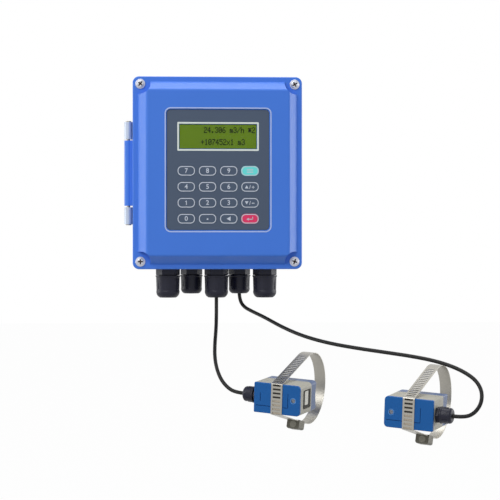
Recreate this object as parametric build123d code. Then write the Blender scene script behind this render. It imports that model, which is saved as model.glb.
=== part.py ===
from build123d import *
import math
import os

# Wall-mounted flow meter: a cast case with a hinged lid, display and keypad, five cable
# glands, and two sensors strapped to a pipe by worm-drive bands, each on its own cable.
# Frame: the origin is the centre of the four wall fixing holes, in the back plane of the case.
# +X is to the right, +Z is up and the front faces -Y. Sizes are in millimetres.
# "Depth" is the distance in front of the back plane, so depth d lies at Y = -d.

# Case
CASE_W = 184.5
CASE_H = 209.5
CASE_CORNER = 7.0
BACK_EDGE = 3.0
WALL = 5.5
BACK_WALL = 5.0
BASE_DEPTH = 58.0
CORNER_SCREW_INSET = 8.3
PILLAR_R = 9.5
WALL_HOLE_SPACING_X = 144.0
WALL_HOLE_SPACING_Z = 168.0
WALL_HOLE_R = 2.75
WALL_BOSS_R = 7.0
WALL_BOSS_HEIGHT = 3.0
BASE_HOLE_EXTRA = 0.1
FACE_PICK = 0.01

# Lid
LID_RIM = 14.0
LID_PLATE = 4.0
FLANGE_WIDTH = 5.2
BEVEL_RUN = 9.6
RAISE = 14.0
BEVEL_EDGE_R = 3.0
FLANGE_EDGE_R = 1.2
INNER_FOOT_INSET = 7.0
POCKET_R = 11.0
LID_WALL = 3.5
GROOVE_INSET = 1.2
GASKET_W = 3.0
GASKET_T = 2.0

# Corner screws of the lid
SCREW_FLANGE_R = 5.4
SCREW_FLANGE_T = 1.3
SCREW_FLANGE_EDGE = 0.5
SCREW_HEAD_R = 4.1
SCREW_HEAD_T = 3.3
SCREW_HEAD_EDGE = 1.2
SCREW_TURN = 20.0
SCREW_SHANK_R = 2.0
SCREW_ENTRY = 4.0
SCREW_HOLE_CLEARANCE = 0.6
SCREW_HOLE_DEPTH = 12.0
CROSS_W = 1.5
CROSS_L = 5.8
CROSS_DEPTH = 2.0

# Keypad window in the lid
PANEL_W = 110.6
PANEL_H = 129.9
PANEL_CORNER = 4.0
PANEL_CENTRE_Z = 2.9
PANEL_T = 1.2
PANEL_GAP = 0.25
RECESS_DEPTH = 2.5
RECESS_CHAMFER = 1.6
FLOOR_T = 3.5
DISPLAY_W = 83.8
DISPLAY_H = 26.3
DISPLAY_RISE = 36.1
WINDOW_RIM = 1.2
MODULE_MARGIN = 7.0
MODULE_T = 8.0
MODULE_BOARD_T = 1.6
MODULE_BOARD_MARGIN = 2.0
MODULE_CORNER = 1.5
GLASS_MARGIN = 0.5
GLASS_SINK = 0.8

# Keys
KEY_W = 19.5
KEY_H = 11.1
KEY_END_R = 5.0
KEY_COLUMN_PITCH = 23.0
KEY_ROW_PITCH = 17.25
KEY_TOP_ROW_DROP = 1.1
KEY_COLUMNS = 4
KEY_ROWS = 4
KEY_GAP = 0.15
KEY_PROUD = 0.4
KEY_TRAVEL = 0.4
KEY_REST_GAP = 0.05
KEY_EDGE_R = 0.3
KEY_FIELD_INSET = 1.0
KEY_FIELD_CORNER = 2.0
KEY_NAMES = [
    ["seven", "eight", "nine", "menu"],
    ["four", "five", "six", "up"],
    ["one", "two", "three", "down"],
    ["zero", "point", "back", "enter"],
]
KEY_BOARD_T = 1.6
KEY_BOARD_MARGIN = 3.0
SWITCH_SIZE = 6.0
SWITCH_BUTTON_R = 1.75
SWITCH_BUTTON_T = 0.9

# Lid hinge, on the left side at the seam
BARREL_R = 4.4
HINGE_GAP = 0.3
PIN_R = 2.0
PIN_FIT_FIXED = 0.02
PIN_FIT_TURNING = 0.06
LID_KNUCKLE_HALF = 35.6
BRACKET_START = 37.2
BRACKET_END = 55.8
BRACKET_PLATE_T = 2.4
BRACKET_REACH = 24.0
BRACKET_CORNER = 3.0
WEB_T = 3.6
SEAM_GAP = 0.5
PIN_HEAD_R = 3.2
PIN_HEAD_T = 1.0

# Electronics
BOARD_W = 140.0
BOARD_H = 150.0
BOARD_T = 1.6
BOARD_CENTRE_Z = 8.0
BOARD_HOLE_INSET = 8.0
STANDOFF_R = 4.0
STANDOFF_HEIGHT = 12.0
BOARD_SCREW_R = 1.4
BOARD_SCREW_HEAD_R = 2.8
BOARD_SCREW_HEAD_T = 2.0
BOARD_SCREW_LENGTH = 8.0
BOARD_SCREW_FIT = 0.05
BOARD_HOLE_EXTRA = 0.2
BOARD_SCREW_END_GAP = 0.2
TRANSFORMER_W = 44.0
TRANSFORMER_H = 36.0
TRANSFORMER_T = 27.0
TRANSFORMER_INSET_X = 10.0
TRANSFORMER_INSET_Z = 14.0
COIL_SHARE = 0.6
COIL_CORNER = 4.0
COIL_SINK = 4.0
TERMINAL_POLES = 8
TERMINAL_PITCH = 6.25
TERMINAL_H = 13.0
TERMINAL_T = 14.0
TERMINAL_INSET = 2.0
TERMINAL_SIDE_GAP = 5.0
TERMINAL_HOLE_SHARE = 0.3
TERMINAL_HOLE_RISE = 2.0
TERMINAL_HOLE_DEPTH = 3.0

# Parts soldered to the main board: x, z, width, height and thickness of each chip and relay,
# and x, z, radius and height of each capacitor
BOARD_BLOCKS = [
    (10, 30, 16, 16, 2.2),
    (-20, 5, 12, 8, 1.8),
    (34, 34, 10, 14, 2.0),
    (34, 4, 20, 12, 3.0),
    (-2, -20, 12, 19, 15.0),
    (14, -20, 12, 19, 15.0),
    (30, -20, 12, 19, 15.0),
    (46, -20, 12, 19, 15.0),
]
BOARD_CAPACITORS = [(-46, -14, 5.0, 16.0), (-32, -14, 5.0, 16.0), (-40, 4, 5.0, 16.0)]

# Cable glands of the case; the front row is one size larger than the back row
GLAND_END_MARGIN = 38.75
GLAND_FRONT_DEPTH = 43.0
GLAND_BACK_DEPTH = 18.5
GLAND_FLATS = [26.6, 24.4]
GLAND_THREAD_R = [10.1, 9.1]
GLAND_COLLAR = [7.0, 7.0]
GLAND_NUT_LENGTH = [24.6, 20.8]
LOCKNUT_T = 5.0
THREAD_PAST_NUT = 2.5
SEAL_R = [5.6, 5.0]
GLAND_HOLE_CLEARANCE = 0.1

# Shape of a gland, as shares of its nut's width and length
COLLAR_SHARE = 0.86
COLLAR_CHAMFER = 0.6
SPIGOT_SHARE = 0.55
SPIGOT_R_SHARE = 0.98
SOCKET_SHARE = 0.62
SOCKET_GAP = 0.1
NUT_GAP = 0.3
SKIRT_PROUD = 0.3
SKIRT_T = 1.3
SKIRT_SLOPE = 0.6
NUT_WAIST = 0.7
DOME_START = 0.68
DOME_MID = (0.88, 0.9)
DOME_END_R = 0.66
RIB_COUNT = 6
RIB_W = 2.4
RIB_T = 1.0
RIB_AT = 0.42
RIB_SHARE = 0.4
SEAL_SHARE = 0.75

# Cables: each starts at a gland under the case and ends at its sensor's gland.
# The points between are where the cable hangs; the first and last come from the glands.
CABLE_R = 2.0
CABLE_GLANDS = [3, 4]
CABLE_LEFT_POINTS = [
    (0.0, -43.0, -144.0),
    (-0.2, -47.0, -156.0),
    (-1.0, -57.5, -170.0),
    (-3.0, -73.0, -184.5),
    (-4.0, -88.0, -198.5),
    (-2.3, -98.5, -211.0),
    (1.8, -106.0, -221.8),
    (8.0, -112.0, -229.7),
    (16.2, -117.0, -234.9),
]
CABLE_RIGHT_POINTS = [
    (27.2, -18.8, -140.0),
    (31.5, -22.5, -147.5),
    (39.5, -31.0, -152.0),
    (52.5, -49.0, -158.0),
    (71.1, -76.9, -168.3),
    (91.2, -103.1, -176.5),
    (115.7, -130.1, -182.5),
    (143.2, -156.0, -186.4),
    (170.1, -178.1, -189.4),
    (193.4, -195.3, -192.2),
    (212.9, -208.7, -195.5),
    (229.0, -219.6, -200.1),
    (242.0, -228.8, -206.0),
    (252.6, -236.8, -213.8),
    (257.8, -242.2, -224.3),
    (256.9, -244.5, -236.2),
    (250.6, -242.5, -246.4),
    (241.4, -237.1, -251.4),
]

# Pipe that the sensors are strapped to, as a line in space
PIPE_R = 38.05
PIPE_POINT = (149.0, -111.8, -237.2)
PIPE_YAW = 28.1
PIPE_SLOPE = 3.65
SENSOR_ROLL = 4.4
SENSOR_PLACE = [-60.2, 85.6]

# Sensor, in its own frame: X along the pipe, Z away from the pipe's axis towards the front
SENSOR_L = 52.5
SENSOR_H = 32.0
COVER_T = 2.6
HOUSING_T = 28.4
SHOE_T = 13.0
SHOE_LIP = 2.0
SENSOR_END_R = 4.0
SENSOR_GLAND_END_R = 1.2
SENSOR_WALL = 3.0
SENSOR_INNER_CORNER = 1.5
COVER_EDGE = 0.7
GLAND_SETBACK = 12.8
SENSOR_GLAND_FLATS = 17.0
SENSOR_GLAND_THREAD_R = 6.2
SENSOR_GLAND_COLLAR = 4.0
SENSOR_GLAND_NUT = 12.6
SENSOR_SEAL_R = 3.4
WINDOW_SIZE = 20.0
WINDOW_SETBACK = 9.0
WINDOW_DEPTH = 1.2
WINDOW_CORNER = 1.5
LINE_W = 0.6
LINE_DEPTH = 0.3
COVER_LINES = [(-18.9, 1.0, LINE_W, 9.6), (12.6, -0.5, LINE_W, 15.0), (-5.5, -8.2, 36.4, LINE_W)]
COVER_SCREW_FROM_END = 7.6
COVER_SCREW_R = 2.1
COVER_SCREW_HEAD_T = 1.6
COVER_SCREW_SINK = 0.5
COVER_SCREW_SHANK_R = 1.2
COVER_SCREW_LENGTH = 8.0
COVER_SCREW_SLOT = 0.6
COVER_SCREW_SLOT_DEPTH = 0.5
COVER_SCREW_TURN = 35.0
COVER_SCREW_GAP = 0.1
COVER_BOSS_H = 7.0
COVER_BOSS_GAP = 1.0

# Strap
STRAP_W = 12.7
STRAP_T = 0.7
STRAP_FIT = 0.05
COUPLANT_FILM = STRAP_FIT
SLOT_PITCH = 4.2
FRONT_SLOTS = 8
SLOT_W = 1.9
SLOT_L = 8.8
LOCK_W = 14.2
LOCK_L = 15.0
LOCK_WALL = 1.1
LOCK_FROM_AXIS = 26.5
LOCK_FLOOR = 0.6
LOCK_EDGE_R = 2.0
LOCK_END_CHAMFER = 1.6
WORM_R = 3.6
WORM_GAP = 0.15
WORM_FIT = 0.05
WORM_HEAD_FLATS = 6.2
WORM_HEAD_L = 5.5
WORM_SLOT_W = 1.2
WORM_SLOT_DEPTH = 1.5
STRAP_CLEARANCE = 0.08

# Places worked out from the sizes above
GLAND_PITCH = CASE_W / 2 - GLAND_END_MARGIN
SEAM = BASE_DEPTH
FLANGE = SEAM + LID_RIM
FACE = FLANGE + RAISE
RECESS_FLOOR = FACE - RECESS_DEPTH
FLOOR_BACK = RECESS_FLOOR - FLOOR_T
PANEL_FRONT = RECESS_FLOOR + PANEL_T
SCREW_X = CASE_W / 2 - CORNER_SCREW_INSET
SCREW_Z = CASE_H / 2 - CORNER_SCREW_INSET
CORNERS = [(-1, -1), (1, -1), (-1, 1), (1, 1)]
SCREW_CENTRES = [(sx * SCREW_X, sz * SCREW_Z) for sx, sz in CORNERS]
BASE_BOTTOM = -CASE_H / 2
HINGE_X = -CASE_W / 2 - HINGE_GAP - BARREL_R
DISPLAY_Z = PANEL_CENTRE_Z + DISPLAY_RISE
BOARD_BACK = BACK_WALL + STANDOFF_HEIGHT
BOARD_FRONT = BOARD_BACK + BOARD_T
GLANDS = [
    (-GLAND_PITCH, GLAND_FRONT_DEPTH, 0),
    (-GLAND_PITCH / 2, GLAND_BACK_DEPTH, 1),
    (0.0, GLAND_FRONT_DEPTH, 0),
    (GLAND_PITCH / 2, GLAND_BACK_DEPTH, 1),
    (GLAND_PITCH, GLAND_FRONT_DEPTH, 0),
]
SENSOR_BACK = PIPE_R - SHOE_LIP
SENSOR_FRONT = SENSOR_BACK + SHOE_T + HOUSING_T + COVER_T
SENSOR_NAMES = ["left", "right"]


def key_place(row, column):
    """Centre of one key, as x and z."""
    x = (column - (KEY_COLUMNS - 1) / 2) * KEY_COLUMN_PITCH
    return x, PANEL_CENTRE_Z - KEY_TOP_ROW_DROP - row * KEY_ROW_PITCH


KEY_PLACES = [
    (KEY_NAMES[row][column], key_place(row, column))
    for row in range(KEY_ROWS)
    for column in range(KEY_COLUMNS)
]


def slab(outline, depth_from, depth_to):
    """A flat outline, drawn in X and Z, made solid between two depths."""
    return extrude(Plane.XZ.offset(depth_from) * outline, amount=depth_to - depth_from)


def slab_at(outline, x, z, depth_from, depth_to):
    return slab(Pos(x, z) * outline, depth_from, depth_to)


def hexagon(flats):
    return RegularPolygon(flats / 2, 6, major_radius=False)


def without_all(shape, cutters):
    for cutter in cutters:
        shape = shape - cutter
    return shape


def with_all(shape, additions):
    for addition in additions:
        shape = shape + addition
    return shape


def cavity_outline(grow=0.0):
    """Inside of the case wall, notched round the corner screws, grown outwards by grow."""
    outline = Rectangle(CASE_W - 2 * WALL + 2 * grow, CASE_H - 2 * WALL + 2 * grow)
    return without_all(outline, [Pos(x, z) * Circle(PILLAR_R - grow) for x, z in SCREW_CENTRES])


def wall_hole_places():
    return [(sx * WALL_HOLE_SPACING_X / 2, sz * WALL_HOLE_SPACING_Z / 2) for sx, sz in CORNERS]


def board_hole_places():
    half_w = BOARD_W / 2 - BOARD_HOLE_INSET
    half_h = BOARD_H / 2 - BOARD_HOLE_INSET
    return [(sx * half_w, BOARD_CENTRE_Z + sz * half_h) for sx, sz in CORNERS]


def make_base():
    """Deep cast tray with corner pillars, wall bosses, board standoffs and gland holes."""
    outer = slab(RectangleRounded(CASE_W, CASE_H, CASE_CORNER), 0, SEAM)
    outer = fillet(outer.edges().filter_by_position(Axis.Y, -FACE_PICK, FACE_PICK), BACK_EDGE)
    base = outer - slab(cavity_outline(), BACK_WALL, SEAM)
    for x, z in wall_hole_places():
        base += slab_at(Circle(WALL_BOSS_R), x, z, BACK_WALL, BACK_WALL + WALL_BOSS_HEIGHT)
        base -= slab_at(Circle(WALL_HOLE_R), x, z, 0, BACK_WALL + WALL_BOSS_HEIGHT)
    for x, z in board_hole_places():
        base += slab_at(Circle(STANDOFF_R), x, z, BACK_WALL, BOARD_BACK)
        pilot_from = BOARD_FRONT - BOARD_SCREW_LENGTH
        base -= slab_at(Circle(BOARD_SCREW_R), x, z, pilot_from, BOARD_BACK)
    for x, z in SCREW_CENTRES:
        hole = Circle(SCREW_SHANK_R + SCREW_HOLE_CLEARANCE + BASE_HOLE_EXTRA)
        base -= slab_at(hole, x, z, SEAM - SCREW_HOLE_DEPTH, SEAM)
    for x, depth, size in GLANDS:
        hole = Cylinder(GLAND_THREAD_R[size] + GLAND_HOLE_CLEARANCE, 4 * WALL)
        base -= Pos(x, -depth, BASE_BOTTOM) * hole
    return base


def make_lid():
    """Cast lid: rim, bevelled raised face, screw pockets, panel recess and hinge knuckle."""
    rim = slab(RectangleRounded(CASE_W, CASE_H, CASE_CORNER), SEAM, FLANGE)
    rim_edges = rim.edges().filter_by_position(Axis.Y, -FLANGE - FACE_PICK, -FLANGE + FACE_PICK)
    rim = fillet(rim_edges, FLANGE_EDGE_R)
    foot_w = CASE_W - 2 * FLANGE_WIDTH
    foot_h = CASE_H - 2 * FLANGE_WIDTH
    face_w = foot_w - 2 * BEVEL_RUN
    face_h = foot_h - 2 * BEVEL_RUN
    foot = Plane.XZ.offset(FLANGE) * RectangleRounded(foot_w, foot_h, CASE_CORNER)
    face = Plane.XZ.offset(FACE) * RectangleRounded(face_w, face_h, BEVEL_EDGE_R)
    raised = loft([foot, face])
    raised = fillet(raised.faces().sort_by(Axis.Y)[0].edges(), BEVEL_EDGE_R)
    lid = rim + raised
    lid = without_all(
        lid, [slab_at(Circle(POCKET_R), x, z, FLANGE, FACE) for x, z in SCREW_CENTRES]
    )

    rim_cavity = slab(cavity_outline(), SEAM, FLANGE - LID_PLATE)
    inner_foot = Plane.XZ.offset(FLANGE - LID_PLATE) * RectangleRounded(
        foot_w - 2 * INNER_FOOT_INSET, foot_h - 2 * INNER_FOOT_INSET, CASE_CORNER
    )
    inner_face = Plane.XZ.offset(FLOOR_BACK) * RectangleRounded(
        face_w - 2 * LID_WALL, face_h - 2 * LID_WALL, BEVEL_EDGE_R
    )
    pocket_wall = Circle(POCKET_R + LID_WALL)
    face_cavity = without_all(
        loft([inner_foot, inner_face]),
        [slab_at(pocket_wall, x, z, SEAM, FACE) for x, z in SCREW_CENTRES],
    )
    lid = lid - rim_cavity - face_cavity

    groove = slab(cavity_outline(GROOVE_INSET + GASKET_W), SEAM, SEAM + GASKET_T)
    groove -= slab(cavity_outline(GROOVE_INSET), SEAM, SEAM + GASKET_T)
    lid -= groove
    for x, z in SCREW_CENTRES:
        hole = Circle(SCREW_SHANK_R + SCREW_HOLE_CLEARANCE)
        lid -= slab_at(hole, x, z, SEAM, FLANGE)

    recess_w = PANEL_W + 2 * PANEL_GAP
    recess_h = PANEL_H + 2 * PANEL_GAP
    recess = RectangleRounded(recess_w, recess_h, PANEL_CORNER + PANEL_GAP)
    mouth = RectangleRounded(
        recess_w + 2 * RECESS_CHAMFER,
        recess_h + 2 * RECESS_CHAMFER,
        PANEL_CORNER + PANEL_GAP + RECESS_CHAMFER,
    )
    lid -= slab_at(recess, 0, PANEL_CENTRE_Z, RECESS_FLOOR, FACE)
    low = Plane.XZ.offset(FACE - RECESS_CHAMFER) * (Pos(0, PANEL_CENTRE_Z) * recess)
    high = Plane.XZ.offset(FACE) * (Pos(0, PANEL_CENTRE_Z) * mouth)
    lid -= loft([low, high])
    lid -= slab_at(Rectangle(DISPLAY_W, DISPLAY_H), 0, DISPLAY_Z, FLOOR_BACK, RECESS_FLOOR)
    key_field_w = (KEY_COLUMNS - 1) * KEY_COLUMN_PITCH + KEY_W - 2 * KEY_FIELD_INSET
    key_field_h = (KEY_ROWS - 1) * KEY_ROW_PITCH + KEY_H - 2 * KEY_FIELD_INSET
    key_field_z = PANEL_CENTRE_Z - KEY_TOP_ROW_DROP - (KEY_ROWS - 1) * KEY_ROW_PITCH / 2
    key_field = RectangleRounded(key_field_w, key_field_h, KEY_FIELD_CORNER)
    lid -= slab_at(key_field, 0, key_field_z, FLOOR_BACK, RECESS_FLOOR)

    barrel = Pos(HINGE_X, -SEAM, 0) * Cylinder(BARREL_R, 2 * LID_KNUCKLE_HALF)
    web_low = SEAM + SEAM_GAP
    web = Pos((HINGE_X - CASE_W / 2) / 2, -(web_low + WEB_T / 2), 0) * Box(
        -CASE_W / 2 - HINGE_X, WEB_T, 2 * LID_KNUCKLE_HALF
    )
    lid = lid + barrel + web
    bore = Pos(HINGE_X, -SEAM, 0) * Cylinder(PIN_R + PIN_FIT_TURNING, 3 * LID_KNUCKLE_HALF)
    return lid - bore


def make_gasket():
    ring = slab(cavity_outline(GROOVE_INSET + GASKET_W), SEAM, SEAM + GASKET_T)
    return ring - slab(cavity_outline(GROOVE_INSET), SEAM, SEAM + GASKET_T)


def cross_recess(length, width, depth_from, depth_to):
    bar = slab(Rectangle(length, width), depth_from, depth_to)
    return bar + slab(Rectangle(width, length), depth_from, depth_to)


def make_lid_screws():
    """Four flanged screws with a cross recess; the tips stop a little way into the base."""
    top = FLANGE + SCREW_HEAD_T
    flange = slab(Circle(SCREW_FLANGE_R), FLANGE, FLANGE + SCREW_FLANGE_T)
    flange = fillet(flange.edges().sort_by(Axis.Y)[0], SCREW_FLANGE_EDGE)
    head = slab(Circle(SCREW_HEAD_R), FLANGE, top)
    head = fillet(head.edges().sort_by(Axis.Y)[0], SCREW_HEAD_EDGE)
    shank = slab(Circle(SCREW_SHANK_R), SEAM - SCREW_ENTRY, FLANGE)
    screw = flange + head + shank - cross_recess(CROSS_L, CROSS_W, top - CROSS_DEPTH, top)
    turned = [
        Pos(x, 0, z) * screw.rotate(Axis.Y, SCREW_TURN * i) for i, (x, z) in enumerate(SCREW_CENTRES)
    ]
    return Compound(children=turned)


def make_brackets():
    """Two fixed hinge brackets on the base's left side, each a barrel with a flat plate."""
    length = BRACKET_END - BRACKET_START
    middle = (BRACKET_END + BRACKET_START) / 2
    side = -CASE_W / 2
    barrel = Pos(HINGE_X, -SEAM, 0) * Cylinder(BARREL_R, length)
    plate_front = SEAM - SEAM_GAP
    plate = Pos(side - BRACKET_PLATE_T / 2, -(plate_front - BRACKET_REACH / 2), 0) * Box(
        BRACKET_PLATE_T, BRACKET_REACH, length
    )
    plate = fillet(plate.edges().filter_by(Axis.X).group_by(Axis.Y)[-1], BRACKET_CORNER)
    bore = Pos(HINGE_X, -SEAM, 0) * Cylinder(PIN_R + PIN_FIT_FIXED, 2 * length)
    bracket = barrel + plate - bore
    return Compound(children=[Pos(0, 0, middle) * bracket, Pos(0, 0, -middle) * bracket])


def make_pin():
    pin = Pos(HINGE_X, -SEAM, 0) * Cylinder(PIN_R, 2 * BRACKET_END)
    head = Cylinder(PIN_HEAD_R, PIN_HEAD_T)
    for side in (-1, 1):
        pin += Pos(HINGE_X, -SEAM, side * (BRACKET_END + PIN_HEAD_T / 2)) * head
    return pin


def make_overlay():
    """Flat keypad sheet with an opening for the display window and one for each key."""
    sheet = slab_at(
        RectangleRounded(PANEL_W, PANEL_H, PANEL_CORNER), 0, PANEL_CENTRE_Z, RECESS_FLOOR, PANEL_FRONT
    )
    window = Rectangle(DISPLAY_W + 2 * WINDOW_RIM, DISPLAY_H + 2 * WINDOW_RIM)
    sheet -= slab_at(window, 0, DISPLAY_Z, RECESS_FLOOR, PANEL_FRONT)
    opening = RectangleRounded(KEY_W, KEY_H, KEY_END_R)
    return without_all(
        sheet, [slab_at(opening, x, z, RECESS_FLOOR, PANEL_FRONT) for _, (x, z) in KEY_PLACES]
    )


def make_window():
    pane = Rectangle(
        DISPLAY_W + 2 * WINDOW_RIM - 2 * KEY_GAP, DISPLAY_H + 2 * WINDOW_RIM - 2 * KEY_GAP
    )
    return slab_at(pane, 0, DISPLAY_Z, RECESS_FLOOR, PANEL_FRONT)


def make_display():
    """Display unit behind the window: a framed glass on its own small board."""
    frame_w = DISPLAY_W + 2 * MODULE_MARGIN
    frame_h = DISPLAY_H + 2 * MODULE_MARGIN
    back = FLOOR_BACK - MODULE_T
    unit = slab_at(RectangleRounded(frame_w, frame_h, MODULE_CORNER), 0, DISPLAY_Z, back, FLOOR_BACK)
    glass = Rectangle(DISPLAY_W + 2 * GLASS_MARGIN, DISPLAY_H + 2 * GLASS_MARGIN)
    unit -= slab_at(glass, 0, DISPLAY_Z, FLOOR_BACK - GLASS_SINK, FLOOR_BACK)
    board = Rectangle(frame_w + 2 * MODULE_BOARD_MARGIN, frame_h + 2 * MODULE_BOARD_MARGIN)
    return unit + slab_at(board, 0, DISPLAY_Z, back - MODULE_BOARD_T, back)


def make_keypad_board():
    """Board behind the keys with a small switch under each one."""
    xs = [x for _, (x, z) in KEY_PLACES]
    zs = [z for _, (x, z) in KEY_PLACES]
    width = max(xs) - min(xs) + KEY_W + 2 * KEY_BOARD_MARGIN
    height = max(zs) - min(zs) + KEY_H + 2 * KEY_BOARD_MARGIN
    centre_z = (max(zs) + min(zs)) / 2
    board = slab_at(Rectangle(width, height), 0, centre_z, FLOOR_BACK - KEY_BOARD_T, FLOOR_BACK)
    key_back = PANEL_FRONT + KEY_PROUD - KEY_TRAVEL - KEY_REST_GAP - PANEL_T
    button_back = key_back - SWITCH_BUTTON_T
    body = Rectangle(SWITCH_SIZE, SWITCH_SIZE)
    for _, (x, z) in KEY_PLACES:
        board += slab_at(body, x, z, FLOOR_BACK, button_back)
        board += slab_at(Circle(SWITCH_BUTTON_R), x, z, button_back, key_back)
    return board


def make_key(x, z):
    outline = RectangleRounded(KEY_W - 2 * KEY_GAP, KEY_H - 2 * KEY_GAP, KEY_END_R - KEY_GAP)
    front = PANEL_FRONT + KEY_PROUD
    cap = slab_at(outline, x, z, front - PANEL_T, front)
    return fillet(cap.edges().filter_by_position(Axis.Y, -front - FACE_PICK, -front + FACE_PICK), KEY_EDGE_R)


def make_main_board():
    """Circuit board with its chips, relays and capacitors soldered on."""
    board = slab_at(Rectangle(BOARD_W, BOARD_H), 0, BOARD_CENTRE_Z, BOARD_BACK, BOARD_FRONT)
    board = without_all(
        board,
        [
            slab_at(Circle(BOARD_SCREW_R + BOARD_HOLE_EXTRA), x, z, BOARD_BACK, BOARD_FRONT)
            for x, z in board_hole_places()
        ],
    )
    for x, z, w, h, t in BOARD_BLOCKS:
        board += slab_at(Rectangle(w, h), x, z, BOARD_FRONT, BOARD_FRONT + t)
    for x, z, r, t in BOARD_CAPACITORS:
        board += slab_at(Circle(r), x, z, BOARD_FRONT, BOARD_FRONT + t)
    return board


def make_transformer():
    """Mains transformer: laminated core with a wider coil round its middle."""
    x = -BOARD_W / 2 + TRANSFORMER_W / 2 + TRANSFORMER_INSET_X
    z = BOARD_CENTRE_Z + BOARD_H / 2 - TRANSFORMER_H / 2 - TRANSFORMER_INSET_Z
    top = BOARD_FRONT + TRANSFORMER_T
    core = slab_at(Rectangle(TRANSFORMER_W, TRANSFORMER_H * COIL_SHARE), x, z, BOARD_FRONT, top)
    coil = RectangleRounded(TRANSFORMER_W * COIL_SHARE, TRANSFORMER_H, COIL_CORNER)
    return core + slab_at(coil, x, z, BOARD_FRONT, top - COIL_SINK)


def make_terminals():
    """Two screw terminal blocks near the board's lower edge, with a round hole at each pole."""
    blocks = []
    z = BOARD_CENTRE_Z - BOARD_H / 2 + TERMINAL_H / 2 + TERMINAL_INSET
    width = TERMINAL_POLES * TERMINAL_PITCH
    top = BOARD_FRONT + TERMINAL_T
    hole = Circle(TERMINAL_PITCH * TERMINAL_HOLE_SHARE)
    middle = BOARD_W / 2 - BOARD_HOLE_INSET - BOARD_SCREW_HEAD_R - TERMINAL_SIDE_GAP - width / 2
    for x0 in (-middle, middle):
        block = slab_at(Rectangle(width, TERMINAL_H), x0, z, BOARD_FRONT, top)
        for i in range(TERMINAL_POLES):
            x = x0 + (i - (TERMINAL_POLES - 1) / 2) * TERMINAL_PITCH
            block -= slab_at(hole, x, z + TERMINAL_HOLE_RISE, top - TERMINAL_HOLE_DEPTH, top)
        blocks.append(block)
    return Compound(children=blocks)


def make_small_screws(sensor_planes):
    """Board screws and the cover screw of each sensor."""
    tip = BOARD_FRONT - BOARD_SCREW_LENGTH + BOARD_SCREW_END_GAP
    shank = slab(Circle(BOARD_SCREW_R - BOARD_SCREW_FIT), tip, BOARD_FRONT)
    head = slab(Circle(BOARD_SCREW_HEAD_R), BOARD_FRONT, BOARD_FRONT + BOARD_SCREW_HEAD_T)
    screws = [Pos(x, 0, z) * (shank + head) for x, z in board_hole_places()]
    for plane in sensor_planes:
        x = SENSOR_L / 2 - COVER_SCREW_FROM_END
        top = SENSOR_FRONT - COVER_SCREW_SINK
        head = Cylinder(COVER_SCREW_R, COVER_SCREW_HEAD_T)
        screw = Pos(x, 0, top - COVER_SCREW_HEAD_T / 2) * head
        screw += Pos(x, 0, top - COVER_SCREW_LENGTH / 2) * Cylinder(
            COVER_SCREW_SHANK_R, COVER_SCREW_LENGTH
        )
        groove = Box(2 * COVER_SCREW_R, COVER_SCREW_SLOT, 2 * COVER_SCREW_SLOT_DEPTH)
        screw -= Pos(x, 0, top) * Rot(0, 0, COVER_SCREW_TURN) * groove
        screws.append(plane.location * screw)
    return Compound(children=screws)


def gland_body(flats, thread_r, collar, nut_length, seal_r, inside):
    """Hexagon body: thread up through the wall, collar below it and a socket for the seal.

    Built upright with the wall's outer face at height 0 and the cable leaving downwards.
    """
    spigot = nut_length * SPIGOT_SHARE
    body = extrude(hexagon(flats * COLLAR_SHARE), amount=-collar)
    body = chamfer(body.edges().filter_by(GeomType.LINE).group_by(Axis.Z)[0], COLLAR_CHAMFER)
    body += extrude(Circle(thread_r), amount=inside)
    body += Pos(0, 0, -collar) * extrude(Circle(thread_r * SPIGOT_R_SHARE), amount=-spigot)
    return body - Pos(0, 0, -collar - spigot) * extrude(Circle(seal_r), amount=collar + spigot + inside)


def gland_nut(flats, thread_r, collar, nut_length, seal_r):
    """Domed clamping nut: a skirt ring, ribs round the middle and a rounded end."""
    length = nut_length
    outer_r = flats / 2
    skirt_r = outer_r + SKIRT_PROUD
    waist_r = outer_r - NUT_WAIST
    dome_from = (waist_r, -length * DOME_START)
    dome_to = (outer_r * DOME_END_R, -length)
    shoulder = Polyline(
        (0, -NUT_GAP),
        (skirt_r, -NUT_GAP),
        (skirt_r, -NUT_GAP - SKIRT_T),
        (outer_r - SKIRT_PROUD, -NUT_GAP - SKIRT_T - SKIRT_SLOPE),
        dome_from,
    )
    dome = ThreePointArc(dome_from, (outer_r * DOME_MID[0], -length * DOME_MID[1]), dome_to)
    end = Polyline(dome_to, (0, -length), (0, -NUT_GAP))
    nut = revolve(Plane.XZ * make_face(shoulder + dome + end), Axis.Z)
    rib = Pos(waist_r, 0, -length * RIB_AT) * Box(RIB_T, RIB_W, length * RIB_SHARE)
    nut = with_all(nut, [Rot(0, 0, 360 * (i + 0.5) / RIB_COUNT) * rib for i in range(RIB_COUNT)])
    nut -= extrude(Circle(thread_r * SPIGOT_R_SHARE + SOCKET_GAP), amount=-length * SOCKET_SHARE)
    nut -= extrude(Circle(seal_r), amount=-length)
    return Pos(0, 0, -collar) * nut


def gland_seal(seal_r, collar, nut_length):
    """Rubber plug that grips the cable, or closes the gland where there is none."""
    bottom = -collar - nut_length
    return Pos(0, 0, bottom) * extrude(Circle(seal_r), amount=nut_length * SEAL_SHARE)


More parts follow.
